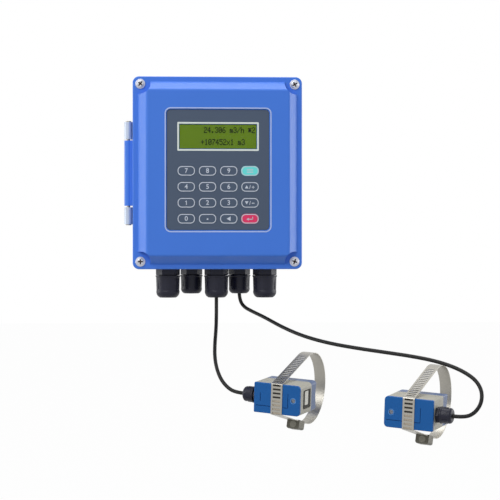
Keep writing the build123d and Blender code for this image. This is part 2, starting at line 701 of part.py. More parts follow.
def make_case_glands():
    """Bodies, clamping nuts, lock nuts and seals of the five glands under the case."""
    bodies, nuts, locknuts, seals = [], [], [], []
    for x, depth, size in GLANDS:
        place = Pos(x, -depth, BASE_BOTTOM)
        inside = WALL + LOCKNUT_T + THREAD_PAST_NUT
        shape = (GLAND_FLATS[size], GLAND_THREAD_R[size], GLAND_COLLAR[size], GLAND_NUT_LENGTH[size])
        bodies.append(place * gland_body(*shape, SEAL_R[size], inside))
        nuts.append(place * gland_nut(*shape, SEAL_R[size]))
        ring = extrude(hexagon(GLAND_FLATS[size]), amount=LOCKNUT_T)
        ring -= extrude(Circle(GLAND_THREAD_R[size] + GLAND_HOLE_CLEARANCE / 2), amount=LOCKNUT_T)
        locknuts.append(place * Pos(0, 0, WALL) * ring)
        seals.append(place * gland_seal(SEAL_R[size], GLAND_COLLAR[size], GLAND_NUT_LENGTH[size]))
    return bodies, nuts, locknuts, seals


def pipe_frame():
    """Directions along the pipe, out of the sensors' fronts and up the sensors."""
    yaw, slope, roll = (math.radians(a) for a in (PIPE_YAW, PIPE_SLOPE, SENSOR_ROLL))
    along = Vector(math.cos(yaw) * math.cos(slope), -math.sin(yaw) * math.cos(slope), -math.sin(slope))
    level = Vector(0, 0, 1).cross(along).normalized() * -1
    up = level.cross(along)
    front = level * math.cos(roll) - up * math.sin(roll)
    return along, front


def sensor_plane(index, flipped):
    """Frame of one sensor; the right one's body is turned half round, its strap is not."""
    along, front = pipe_frame()
    origin = Vector(*PIPE_POINT) + along * SENSOR_PLACE[index]
    return Plane(origin=origin, x_dir=along * (-1 if flipped else 1), z_dir=front)


def sensor_outline():
    """Front outline: square at the gland end (-X), rounded at the free end (+X)."""
    outline = Rectangle(SENSOR_L, SENSOR_H)
    free_end = outline.vertices().group_by(Axis.X)[-1]
    outline = fillet(free_end, SENSOR_END_R)
    return fillet(outline.vertices().group_by(Axis.X)[0], SENSOR_GLAND_END_R)


def sensor_slab(outline, z_from, z_to):
    return Pos(0, 0, z_from) * extrude(outline, amount=z_to - z_from)


def gland_turn():
    """Turns a gland built upright so that its cable leaves the sensor towards -X."""
    return Pos(-SENSOR_L / 2, 0, SENSOR_FRONT - GLAND_SETBACK) * Rot(0, 90, 0)


def make_sensor_housing():
    z0 = SENSOR_BACK + SHOE_T
    z1 = z0 + HOUSING_T
    body = sensor_slab(sensor_outline(), z0, z1)
    inner = RectangleRounded(
        SENSOR_L - 2 * SENSOR_WALL, SENSOR_H - 2 * SENSOR_WALL, SENSOR_INNER_CORNER
    )
    body -= sensor_slab(inner, z0 + SENSOR_WALL, z1)
    boss_x = SENSOR_L / 2 - COVER_SCREW_FROM_END
    boss = Rectangle(2 * (COVER_SCREW_FROM_END - COVER_BOSS_GAP), COVER_BOSS_H)
    body += Pos(boss_x, 0, 0) * sensor_slab(boss, z0 + SENSOR_WALL, z1)
    hole = Circle(COVER_SCREW_SHANK_R + COVER_SCREW_GAP / 2)
    body -= Pos(boss_x, 0, 0) * sensor_slab(hole, z1 - COVER_SCREW_LENGTH, z1)
    body -= gland_turn() * Cylinder(SENSOR_GLAND_THREAD_R + GLAND_HOLE_CLEARANCE, 4 * SENSOR_WALL)
    window_z = SENSOR_FRONT - WINDOW_SETBACK - WINDOW_SIZE / 2
    window = Box(2 * WINDOW_DEPTH, WINDOW_SIZE, WINDOW_SIZE)
    window = fillet(window.edges().filter_by(Axis.X), WINDOW_CORNER)
    return body - Pos(SENSOR_L / 2, 0, window_z) * window


def make_sensor_cover(flipped):
    """Thin front cover with a softened edge, engraved lines and a sunk screw seat.

    The lines read the same way on both sensors, so they turn back on the flipped one.
    """
    z0 = SENSOR_FRONT - COVER_T
    cover = sensor_slab(sensor_outline(), z0, SENSOR_FRONT)
    cover = fillet(cover.faces().sort_by(Axis.Z)[-1].edges(), COVER_EDGE)
    way = -1 if flipped else 1
    for x, y, width, height in COVER_LINES:
        cover -= Pos(way * x, way * y, SENSOR_FRONT) * Box(width, height, 2 * LINE_DEPTH)
    boss_x = SENSOR_L / 2 - COVER_SCREW_FROM_END
    seat_depth = COVER_SCREW_SINK + COVER_SCREW_HEAD_T
    cover -= Pos(boss_x, 0, SENSOR_FRONT) * Cylinder(COVER_SCREW_R + COVER_SCREW_GAP, 2 * seat_depth)
    return cover - Pos(boss_x, 0, z0) * Cylinder(COVER_SCREW_SHANK_R + COVER_SCREW_GAP, 4 * COVER_T)


def make_sensor_shoe():
    """Acoustic wedge between housing and pipe, hollowed to the pipe's radius."""
    shoe = sensor_slab(sensor_outline(), SENSOR_BACK, SENSOR_BACK + SHOE_T)
    return shoe - Rot(0, 90, 0) * Cylinder(PIPE_R + COUPLANT_FILM, 2 * SENSOR_L)


def strap_geometry(grow):
    """Points of the strap's loop, seen along the pipe, with its surface moved out by grow."""
    corner_y = SENSOR_H / 2 - COVER_EDGE + STRAP_FIT
    corner_z = SENSOR_FRONT - COVER_EDGE + STRAP_FIT
    pipe_r = PIPE_R + STRAP_FIT + grow
    bend_r = COVER_EDGE + grow
    angle = math.atan2(corner_y, corner_z)
    angle += math.acos((pipe_r - bend_r) / math.hypot(corner_y, corner_z))
    normal = (math.sin(angle), math.cos(angle))
    on_pipe = (pipe_r * normal[0], pipe_r * normal[1])
    on_corner = (corner_y + bend_r * normal[0], corner_z + bend_r * normal[1])
    return corner_y, corner_z, pipe_r, bend_r, angle, on_pipe, on_corner


def strap_face(grow):
    y, z, pipe_r, bend_r, angle, on_pipe, on_corner = strap_geometry(grow)
    bend_mid = (y + bend_r * math.sin(angle / 2), z + bend_r * math.cos(angle / 2))
    front = (y, z + bend_r)

    def mirror_y(point):
        return (-point[0], point[1])

    edges = [
        Line(mirror_y(front), front),
        ThreePointArc(front, bend_mid, on_corner),
        Line(on_corner, on_pipe),
        ThreePointArc(on_pipe, (0, -pipe_r), mirror_y(on_pipe)),
        Line(mirror_y(on_pipe), mirror_y(on_corner)),
        ThreePointArc(mirror_y(on_corner), mirror_y(bend_mid), mirror_y(front)),
    ]
    return make_face(edges)


def make_strap():
    """Stainless band: a closed loop round pipe and sensor, slotted where the worm can reach."""
    ring = Plane.YZ * (strap_face(STRAP_T) - strap_face(0.0))
    strap = Pos(-STRAP_W / 2, 0, 0) * extrude(ring, amount=STRAP_W)
    slot = Box(SLOT_L, SLOT_W, 6 * STRAP_T)
    y, z, pipe_r, bend_r, angle, on_pipe, on_corner = strap_geometry(0.0)
    for i in range(FRONT_SLOTS):
        strap -= Pos(0, (i - (FRONT_SLOTS - 1) / 2) * SLOT_PITCH, z + bend_r) * slot
    run = math.hypot(on_pipe[0] - on_corner[0], on_pipe[1] - on_corner[1])
    run_dir = ((on_pipe[0] - on_corner[0]) / run, (on_pipe[1] - on_corner[1]) / run)
    tilt = -math.degrees(angle)
    for i in range(int(run / SLOT_PITCH) - 1):
        d = (i + 1) * SLOT_PITCH
        place = Pos(0, on_corner[0] + d * run_dir[0], on_corner[1] + d * run_dir[1])
        strap -= place * Rot(tilt, 0, 0) * slot
    return strap


def lock_plane():
    """Frame of the strap's worm lock: on the lower straight run, Y along the strap."""
    y, z, pipe_r, bend_r, angle, on_pipe, on_corner = strap_geometry(STRAP_T)
    share = (on_corner[1] - LOCK_FROM_AXIS) / (on_corner[1] - on_pipe[1])
    place_y = on_corner[0] + share * (on_pipe[0] - on_corner[0])
    normal = Vector(0, -math.sin(angle), math.cos(angle))
    return Plane(origin=(0, -place_y, LOCK_FROM_AXIS), x_dir=(-1, 0, 0), z_dir=normal)


WORM_HEIGHT = WORM_R + WORM_GAP


def make_lock():
    """Pressed housing that wraps the strap and holds the worm screw."""
    top = WORM_HEIGHT + WORM_R + WORM_FIT + LOCK_WALL
    low = -STRAP_T - STRAP_CLEARANCE - LOCK_FLOOR
    shell = Pos(0, 0, (top + low) / 2) * Box(LOCK_W, LOCK_L, top - low)
    shell = chamfer(shell.edges().filter_by(Axis.X).group_by(Axis.Z)[-1], LOCK_END_CHAMFER)
    shell = fillet(shell.edges().filter_by(Axis.Y).group_by(Axis.Z)[-1], LOCK_EDGE_R)
    tunnel_w = STRAP_W + 2 * STRAP_CLEARANCE
    shell -= Pos(0, 0, -STRAP_T / 2) * Box(tunnel_w, 2 * LOCK_L, STRAP_T + 2 * STRAP_CLEARANCE)
    bore = Pos(0, 0, WORM_HEIGHT) * Rot(90, 0, 0) * Cylinder(WORM_R + WORM_FIT, 2 * LOCK_L)
    return shell - bore


def make_worm():
    """Worm screw with a slotted hexagon head at the end away from the sensor's front."""
    worm = Rot(90, 0, 0) * Cylinder(WORM_R, LOCK_L)
    head_at = LOCK_L / 2
    head = Rot(-90, 0, 0) * extrude(hexagon(WORM_HEAD_FLATS), amount=WORM_HEAD_L)
    screw = worm + Pos(0, head_at, 0) * head
    screw -= Pos(0, head_at + WORM_HEAD_L, 0) * Box(WORM_SLOT_W, 2 * WORM_SLOT_DEPTH, 3 * WORM_R)
    return Pos(0, 0, WORM_HEIGHT) * screw


def cable_tube(points):
    """Round tube along straight runs joined by tangent arcs; prints its radii and volume."""
    points = [Vector(*p) for p in points]
    radii = []
    for before, at, after in zip(points, points[1:], points[2:]):
        turn = math.radians((at - before).get_angle(after - at))
        shorter = min((at - before).length, (after - at).length)
        radii.append(0.45 * shorter / math.tan(turn / 2))
    path = FilletPolyline(*points, radius=radii)
    start = Plane(origin=points[0], z_dir=points[1] - points[0])
    tube = sweep(start * Circle(CABLE_R), path=path)
    print("cable radii", [round(r, 1) for r in radii])
    print("cable length", round(path.length, 1), "volume ratio",
          round(tube.volume / (path.length * math.pi * CABLE_R ** 2), 4))
    return tube


def save(name, shape):
    export_step(shape, f"parts/{name}.step")


def main():
    os.makedirs("parts", exist_ok=True)
    block_planes = [sensor_plane(i, flipped=(i == 1)) for i in range(2)]
    strap_planes = [sensor_plane(i, flipped=False) for i in range(2)]

    save("base_housing", make_base())
    save("lid", make_lid())
    save("lid_gasket", make_gasket())
    save("lid_screws", make_lid_screws())
    save("hinge_brackets", make_brackets())
    save("hinge_pin", make_pin())
    save("keypad_overlay", make_overlay())
    save("display_window", make_window())
    save("display_module", make_display())
    save("keypad_board", make_keypad_board())
    for name, (x, z) in KEY_PLACES:
        save(f"key_{name}", make_key(x, z))
    save("main_board", make_main_board())
    save("power_transformer", make_transformer())
    save("terminal_blocks", make_terminals())
    save("small_screws", make_small_screws(block_planes))

    bodies, nuts, locknuts, seals = make_case_glands()
    for i, (body, nut) in enumerate(zip(bodies, nuts), start=1):
        save(f"gland_body_{i}", body)
        save(f"gland_nut_{i}", nut)
    save("gland_locknuts", Compound(children=locknuts))

    sensor_shape = (SENSOR_GLAND_FLATS, SENSOR_GLAND_THREAD_R, SENSOR_GLAND_COLLAR, SENSOR_GLAND_NUT)
    inner = gland_body(*sensor_shape, SENSOR_SEAL_R, SENSOR_WALL)
    nut = gland_nut(*sensor_shape, SENSOR_SEAL_R)
    seal = gland_seal(SENSOR_SEAL_R, SENSOR_GLAND_COLLAR, SENSOR_GLAND_NUT)
    cable_ends = []
    for plane, strap_at, name in zip(block_planes, strap_planes, SENSOR_NAMES):
        flipped = plane.x_dir != strap_at.x_dir
        save(f"sensor_housing_{name}", plane.location * make_sensor_housing())
        save(f"sensor_cover_{name}", plane.location * make_sensor_cover(flipped))
        save(f"sensor_shoe_{name}", plane.location * make_sensor_shoe())
        save(f"sensor_gland_body_{name}", plane.location * gland_turn() * inner)
        save(f"sensor_gland_nut_{name}", plane.location * gland_turn() * nut)
        seals.append(plane.location * gland_turn() * seal)
        save(f"strap_band_{name}", strap_at.location * make_strap())
        lock_at = strap_at.location * lock_plane().location
        save(f"strap_lock_{name}", lock_at * make_lock())
        save(f"strap_screw_{name}", lock_at * make_worm())
        axis_at = lock_at * Location((0, 0, WORM_HEIGHT))
        print(name, "worm at", axis_at.position, "axis", Plane(axis_at).y_dir)
        tip = plane.location * gland_turn() * Location(
            (0, 0, -SENSOR_GLAND_COLLAR - SENSOR_GLAND_NUT)
        )
        cable_ends.append(tip.position)
        print(name, "cable end", tip.position, "pointing", Plane(tip).z_dir * -1)
        print(name, "pipe centre", strap_at.origin, "along", strap_at.x_dir, "front", strap_at.z_dir)
    save("gland_seals", Compound(children=seals))

    routes = [CABLE_LEFT_POINTS, CABLE_RIGHT_POINTS]
    for name, gland, middle, end in zip(SENSOR_NAMES, CABLE_GLANDS, routes, cable_ends):
        x, depth, size = GLANDS[gland - 1]
        start = (x, -depth, BASE_BOTTOM - GLAND_COLLAR[size] - GLAND_NUT_LENGTH[size])
        print(name, "cable starts at", start)
        save(f"cable_{name}", cable_tube([start] + middle + [tuple(end)]))


main()
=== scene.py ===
import bpy
import bmesh
import math
from mathutils import Matrix, Vector


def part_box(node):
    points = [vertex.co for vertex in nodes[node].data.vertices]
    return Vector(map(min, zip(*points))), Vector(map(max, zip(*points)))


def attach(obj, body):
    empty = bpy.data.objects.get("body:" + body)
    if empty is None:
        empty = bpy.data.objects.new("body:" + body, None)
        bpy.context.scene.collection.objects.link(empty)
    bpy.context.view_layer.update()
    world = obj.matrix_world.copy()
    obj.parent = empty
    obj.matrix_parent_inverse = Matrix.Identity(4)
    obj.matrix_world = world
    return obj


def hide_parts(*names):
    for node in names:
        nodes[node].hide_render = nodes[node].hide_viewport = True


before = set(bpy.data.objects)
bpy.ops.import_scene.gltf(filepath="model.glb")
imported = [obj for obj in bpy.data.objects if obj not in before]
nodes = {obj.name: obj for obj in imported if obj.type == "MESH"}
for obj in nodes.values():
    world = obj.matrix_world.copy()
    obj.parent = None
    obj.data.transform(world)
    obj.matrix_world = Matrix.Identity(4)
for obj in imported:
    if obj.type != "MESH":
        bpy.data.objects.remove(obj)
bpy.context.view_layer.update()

# Sizes in metres, in the part's own frame: +X right, +Z up, the front faces -Y
MM = 0.001
SIDES = ("left", "right")
LEAST_CORNER = 0.2 * MM
LEAST_ROUGH = 0.02
QUARTERS = ((1, 1), (-1, 1), (-1, -1), (1, -1))  # signs of X and Z, anticlockwise

# Camera that matches the photograph, its focal length in pixels and its turns in degrees
IMAGE_SIZE = 500
FOCAL_PIXELS = 1800.0
SENSOR_WIDTH = 36.0
CAMERA_PLACE = (-0.09091, -2.02946, -0.07049)
CAMERA_YAW = -3.69
CAMERA_PITCH = 0.39
CAMERA_REACH = 50.0

# Lights: place, width of the disc in metres, and power in watts
LIGHT_TARGET = (0.05, -0.08, -0.1)
LIGHTS = {
    "key": ((-1.1, -1.9, 1.3), 1.5, 31.5),
    "left": ((-1.9, 0.35, 0.1), 1.3, 12.0),
    "right": ((1.9, 0.35, 0.1), 1.3, 17.0),
    "top": ((0.0, 0.2, 1.9), 1.3, 17.0),
}

# Floor, and the surround that lights the object and is seen as white
FLOOR_Z = -0.45
FLOOR_CORNERS = ((-4, -4), (4, -4), (4, 6), (-4, 6))
FLOOR_BASE = (0.35, 0.35, 0.35, 1.0)
FLOOR_ROUGH = 0.9
FLOOR_GLOW_SHARE = 0.98
SURROUND_COLOUR = (0.93, 0.96, 1.0, 1.0)
SURROUND_STRENGTH = 0.45
WHITE = (1.0, 1.0, 1.0, 1.0)

# Front panel, and the pale ring round its recess, a painted highlight for the light on the recess
# chamfer
PANEL_Z = 2.9 * MM
PRINT_T = 0.06 * MM
LID_FACE = 86.0 * MM
HIGHLIGHT_OFFSET = 2.5 * MM
HIGHLIGHT_W = 1.3 * MM
HIGHLIGHT_SINK = 0.1 * MM
HIGHLIGHT_T = 0.15 * MM
HIGHLIGHT_CORNER = 6.5 * MM

# Keys: their places, and the outline and digit printed on each
KEY_COLUMN_PITCH = 23.0 * MM
KEY_ROW_PITCH = 17.25 * MM
KEY_TOP_Z = PANEL_Z - 1.1 * MM
KEY_MIDDLE_COLUMN = 1.5
KEY_ROWS = [
    ["seven", "eight", "nine", "menu"],
    ["four", "five", "six", "up"],
    ["one", "two", "three", "down"],
    ["zero", "point", "back", "enter"],
]
KEY_DIGITS = {
    "zero": "0", "two": "2", "three": "3", "four": "4",
    "five": "5", "six": "6", "seven": "7", "eight": "8", "nine": "9",
}
DIGIT_SIZE = 7.0 * MM
DIGIT_BOLDNESS = 0.012
SIGN_LIFT = 0.01 * MM
OUTLINE_SINK = 0.02 * MM
OUTLINE_LESS = 0.6 * MM
OUTLINE_CORNER = 4.6 * MM
OUTLINE_W = 0.88 * MM

# Drawn signs of the other keys, in millimetres from the middle of the key
SIGN_ARROWS = {  # way, size, x, z
    "up": ("up", 4.0, -3.6, 0.0),
    "down": ("down", 4.0, -3.6, 0.0),
    "back": ("left", 5.0, -0.2, 0.0),
    "enter": ("left", 3.0, -2.6, -0.5),
}
SLASH = [(-0.3, -2.0), (0.3, -2.0), (1.1, 2.0), (0.5, 2.0)]
DIGIT_ONE = [
    (-0.2, -2.3), (0.55, -2.3), (0.55, 2.3), (-0.05, 2.3), (-1.2, 1.45), (-1.2, 0.85), (-0.2, 1.4),
]
SIGN_STROKES = {"up": (-0.4, SLASH), "down": (-0.4, SLASH), "one": (0.0, DIGIT_ONE)}  # x, outline
SIGN_BARS = {  # x, z, width, height
    "up": [(3.4, -0.4, 3.0, 0.85), (3.4, -0.4, 0.85, 3.0)],
    "down": [(3.4, -0.4, 3.0, 0.85)],
    "point": [(0.0, -0.4, 1.7, 1.7)],
    "menu": [(0.0, -1.7, 7.0, 0.75), (0.0, 0.0, 7.0, 0.75), (0.0, 1.7, 7.0, 0.75)],
    "enter": [(0.8, -0.5, 5.0, 0.8), (2.9, 0.7, 0.8, 3.2)],
}
BAR_ROUNDING = 0.3

# Display: a printed frame, and green glass behind the window
DISPLAY_Z = 39.0 * MM
FRAME_W = 88.2 * MM
FRAME_H = 31.0 * MM
FRAME_CORNER = 1.0 * MM
FRAME_LINE = 1.8 * MM
FRAME_LIFT = 0.005 * MM
LCD_W = 83.4 * MM
LCD_H = 25.9 * MM
LCD_CORNER = 0.6 * MM
LCD_T = 4.0 * MM
LCD_GAP = 0.15 * MM

# Display text, in dots of a five by seven grid: each row has its left edge and its middle
LCD_ROWS = [("24.306 m3/h *2", -15.3 * MM, 46.0 * MM), ("+107452x1 m3", -18.5 * MM, 33.0 * MM)]
DOT_PITCH_X = 0.66 * MM
DOT_PITCH_Z = 0.92 * MM
DOT_FILL_X = 1.4
DOT_FILL_Z = 1.1
DOT_T = 0.03 * MM
DOT_MIDDLE_LINE = 3
CHARACTER_PITCH = 4.0 * MM
DOT_FONT = {
    "0": ["01110", "10001", "10011", "10101", "11001", "10001", "01110"],
    "1": ["00100", "01100", "00100", "00100", "00100", "00100", "01110"],
    "2": ["01110", "10001", "00001", "00110", "01000", "10000", "11111"],
    "3": ["01110", "10001", "00001", "00110", "00001", "10001", "01110"],
    "4": ["00010", "00110", "01010", "10010", "11111", "00010", "00010"],
    "5": ["11111", "10000", "11110", "00001", "00001", "10001", "01110"],
    "6": ["00110", "01000", "10000", "11110", "10001", "10001", "01110"],
    "7": ["11111", "00001", "00010", "00100", "01000", "01000", "01000"],
    ".": ["00000", "00000", "00000", "00000", "00000", "01100", "01100"],
    "/": ["00001", "00001", "00010", "00100", "01000", "10000", "10000"],
    "+": ["00000", "00100", "00100", "11111", "00100", "00100", "00000"],
    "*": ["00000", "10101", "01110", "11111", "01110", "10101", "00000"],
    "x": ["00000", "00000", "10001", "01010", "00100", "01010", "10001"],
    "m": ["00000", "00000", "11010", "10101", "10101", "10101", "10101"],
    "h": ["10000", "10000", "10110", "11001", "10001", "10001", "10001"],
}

# Lid screws, one in each corner: painted shade, a dark plate on the bottom of the cross recess
SCREW_X = 83.95 * MM
SCREW_Z = 96.45 * MM
SCREW_TURN = 20.0
CROSS_L = 5.7 * MM
CROSS_W = 1.4 * MM
CROSS_FLOOR = 73.35 * MM
CROSS_FILL_T = 1.0 * MM

# Lid gasket with an eye round each lid screw, and the paint that closes the rim at its corners
GASKET_W = 3.0 * MM
GASKET_CORNER = 5.7 * MM  # the case's 7 mm corner less the 1.3 mm that the gasket lies inside it
GASKET_EYE_R = 8.3 * MM
GASKET_EYE_STEPS = 48
RIM_CORNER = 6.98 * MM
RIM_ARC_START = 8
RIM_ARC_SWEEP = 74
RIM_ARC_STEPS = 16

# Depths at which the parts inside the case change colour, and the coil of the transformer
BOARD_FACE = 18.65 * MM
RELAY_FOOT = 22.2 * MM
CAPACITOR_TOP = 34.3 * MM
SWITCH_FACE = 80.05 * MM
MODULE_FACE = 72.05 * MM
TERMINAL_FACE = 30.0 * MM
COIL_MIDDLE = 51.0 * MM
COIL_HALF = 10.85 * MM

# Cables: control points along each one's middle, in millimetres
CABLE_D = 4.0 * MM
CABLE_ROUTES = {
    "left": [
        (0.0, -43.0, -136.35),
        (0.0, -43.0, -144.0),
        (-0.2, -47.0, -156.0),
        (-1.0, -57.5, -170.0),
        (-3.0, -73.0, -184.5),
        (-4.0, -88.0, -198.5),
        (-2.3, -98.5, -211.0),
        (1.8, -106.0, -221.8),
        (8.0, -112.0, -229.7),
        (16.2, -117.0, -234.9),
        (26.41, -122.35, -235.79),
    ],
    "right": [
        (26.75, -18.5, -132.55),
        (27.2, -18.8, -140.0),
        (31.5, -22.5, -147.5),
        (39.5, -31.0, -152.0),
        (52.5, -49.0, -158.0),
        (71.1, -76.9, -168.3),
        (91.2, -103.1, -176.5),
        (115.7, -130.1, -182.5),
        (143.2, -156.0, -186.4),
        (170.1, -178.1, -189.4),
        (193.4, -195.3, -192.2),
        (212.9, -208.7, -195.5),
        (229.0, -219.6, -200.1),
        (242.0, -228.8, -206.0),
        (252.6, -236.8, -213.8),
        (257.8, -242.2, -224.3),
        (256.9, -244.5, -236.2),
        (250.6, -242.5, -246.4),
        (241.4, -237.1, -251.4),
        (230.21, -231.17, -250.53),
    ],
}

# Sensors: the middle of each strap on the pipe's axis, and the directions of the block
PIPE_ALONG = Vector((0.880338, -0.470056, -0.063661))
SENSOR_FRONT_WAY = Vector((-0.473932, -0.877227, -0.076563))
SENSOR_CENTRES = {
    "left": Vector((96.0037, -83.5026, -233.368)) * MM,
    "right": Vector((224.357, -152.037, -242.649)) * MM,
}
SENSOR_L = 52.5 * MM
SENSOR_FRONT = 80.05 * MM

# Recess at a sensor's free end, and the layers of the plate in it
WINDOW_SETBACK = 9.0 * MM
WINDOW_SIZE = 20.0 * MM
WINDOW_DEPTH = 1.2 * MM
PLATE_LAYERS = [  # piece, material, then width, height, corner, rise and thickness in millimetres
    ("plate_dark", "plate_dark", 19.2, 19.2, 1.2, 0.0, 0.4),
    ("plate_pale", "plate_pale", 8.4, 14.6, 0.8, 1.2, 0.8),
    ("plate_foot", "plate_dark", 13.0, 2.2, 0.6, -7.6, 0.7),
]

# Sensor covers: the screw's ring, and the engraved lines as x, y, width and height in millimetres,
# with painted shade on their floors
COVER_SCREW_FROM_END = 7.6 * MM
COVER_SCREW_X = SENSOR_L / 2 - COVER_SCREW_FROM_END
RING_D = 6.2 * MM
RING_LINE = 0.4 * MM
COVER_LINES = [(-18.9, 1.0, 0.5, 9.4), (12.6, -0.5, 0.5, 14.8), (-5.5, -8.2, 36.2, 0.5)]
LINE_PLUGS = [(-18.9, 4.4, 0.5, 2.6), (-18.9, -3.4, 0.5, 0.6)]
LINE_DEPTH = 0.29 * MM
LINE_FLOOR = SENSOR_FRONT - LINE_DEPTH
LINE_CORNER = 0.2 * MM
LINE_FILL_T = 0.2 * MM

# Slots across the front of each strap, and the sheets seen through them: painted shade in the upper
# slots, the band's tail in the lower ones
SLOT_COUNT = 8
SLOT_PITCH = 4.2 * MM
SLOT_FILL_L = 8.6 * MM
SLOT_FILL_W = 1.7 * MM
SLOT_FILL_T = 0.3 * MM
SLOT_FILL_CORNER = 0.3 * MM
SLOT_FILL_LIFT = 0.01 * MM


def to_linear(value):
    """A screen value from 0 to 1 as linear light."""
    return value / 12.92 if value <= 0.04045 else ((value + 0.055) / 1.055) ** 2.4


def colour(red, green, blue):
    """A colour given as it looks on screen, 0 to 255, in the linear values that a shader takes."""
    return tuple(to_linear(c / 255) for c in (red, green, blue)) + (1.0,)


def scaled(rgba, factor):
    """A colour made darker or lighter by factor, and opaque."""
    return tuple(min(1.0, c * factor) for c in rgba[:3]) + (1.0,)


def make_material(name, rgba, rough, metallic=0.0, spread=0.05, grain=60.0, rough_spread=0.06,
                  bump=0.0, bump_scale=1500.0, bump_depth=0.05 * MM, stretch=(1, 1, 1), coats=(),
                  **sockets):
    """Procedural surface: soft colour and gloss variation, and a fine bump at its own scale.

    A coat (axis, centre, half, rgba) gives another colour to what lies further than half
    from centre. The sockets are the shader's own, with underscores for spaces.
    """
    material = bpy.data.materials.new(name)
    material.use_nodes = True
    tree = material.node_tree
    shader = tree.nodes["Principled BSDF"]
    for socket, value in sockets.items():
        shader.inputs[socket.replace("_", " ")].default_value = value
    shader.inputs["Metallic"].default_value = metallic
    place = tree.nodes.new("ShaderNodeTexCoord")
    mapping = tree.nodes.new("ShaderNodeMapping")
    mapping.inputs["Scale"].default_value = stretch
    tree.links.new(place.outputs["Object"], mapping.inputs["Vector"])

    def noise(scale, detail):
        node = tree.nodes.new("ShaderNodeTexNoise")
        node.inputs["Scale"].default_value = scale
        node.inputs["Detail"].default_value = detail
        tree.links.new(mapping.outputs["Vector"], node.inputs["Vector"])
        return node

    def mixed(factor, first, second):
        blend = tree.nodes.new("ShaderNodeMix")
        blend.data_type = "RGBA"
        tree.links.new(factor, blend.inputs["Factor"])
        for socket, value in ((blend.inputs["A"], first), (blend.inputs["B"], second)):
            if isinstance(value, tuple):
                socket.default_value = value
            else:
                tree.links.new(value, socket)
        return next(output for output in blend.outputs if output.type == "RGBA")

    def mathed(operation, first, second=0.0):
        node = tree.nodes.new("ShaderNodeMath")
        node.operation = operation
        tree.links.new(first, node.inputs[0])
        node.inputs[1].default_value = second
        return node.outputs["Value"]

    soft = noise(grain, detail=4.0).outputs["Fac"]
    shade = mixed(soft, scaled(rgba, 1 - spread), scaled(rgba, 1 + spread))
    for axis, centre, half, coat in coats:
        split = tree.nodes.new("ShaderNodeSeparateXYZ")
        tree.links.new(place.outputs["Object"], split.inputs["Vector"])
        away = mathed("ABSOLUTE", mathed("SUBTRACT", split.outputs[axis], centre))
        coated = mixed(soft, scaled(coat, 1 - spread), scaled(coat, 1 + spread))
        shade = mixed(mathed("GREATER_THAN", away, half), shade, coated)
    tree.links.new(shade, shader.inputs["Base Color"])

    gloss = tree.nodes.new("ShaderNodeMapRange")
    gloss.inputs["To Min"].default_value = max(LEAST_ROUGH, rough - rough_spread)
    gloss.inputs["To Max"].default_value = min(1.0, rough + rough_spread)
    tree.links.new(noise(grain * 4, detail=3.0).outputs["Fac"], gloss.inputs["Value"])
    tree.links.new(gloss.outputs["Result"], shader.inputs["Roughness"])

    if bump:
        relief = tree.nodes.new("ShaderNodeBump")
        relief.inputs["Strength"].default_value = bump
        relief.inputs["Distance"].default_value = bump_depth
        tree.links.new(noise(bump_scale, detail=2.0).outputs["Fac"], relief.inputs["Height"])
        tree.links.new(relief.outputs["Normal"], shader.inputs["Normal"])
    return material


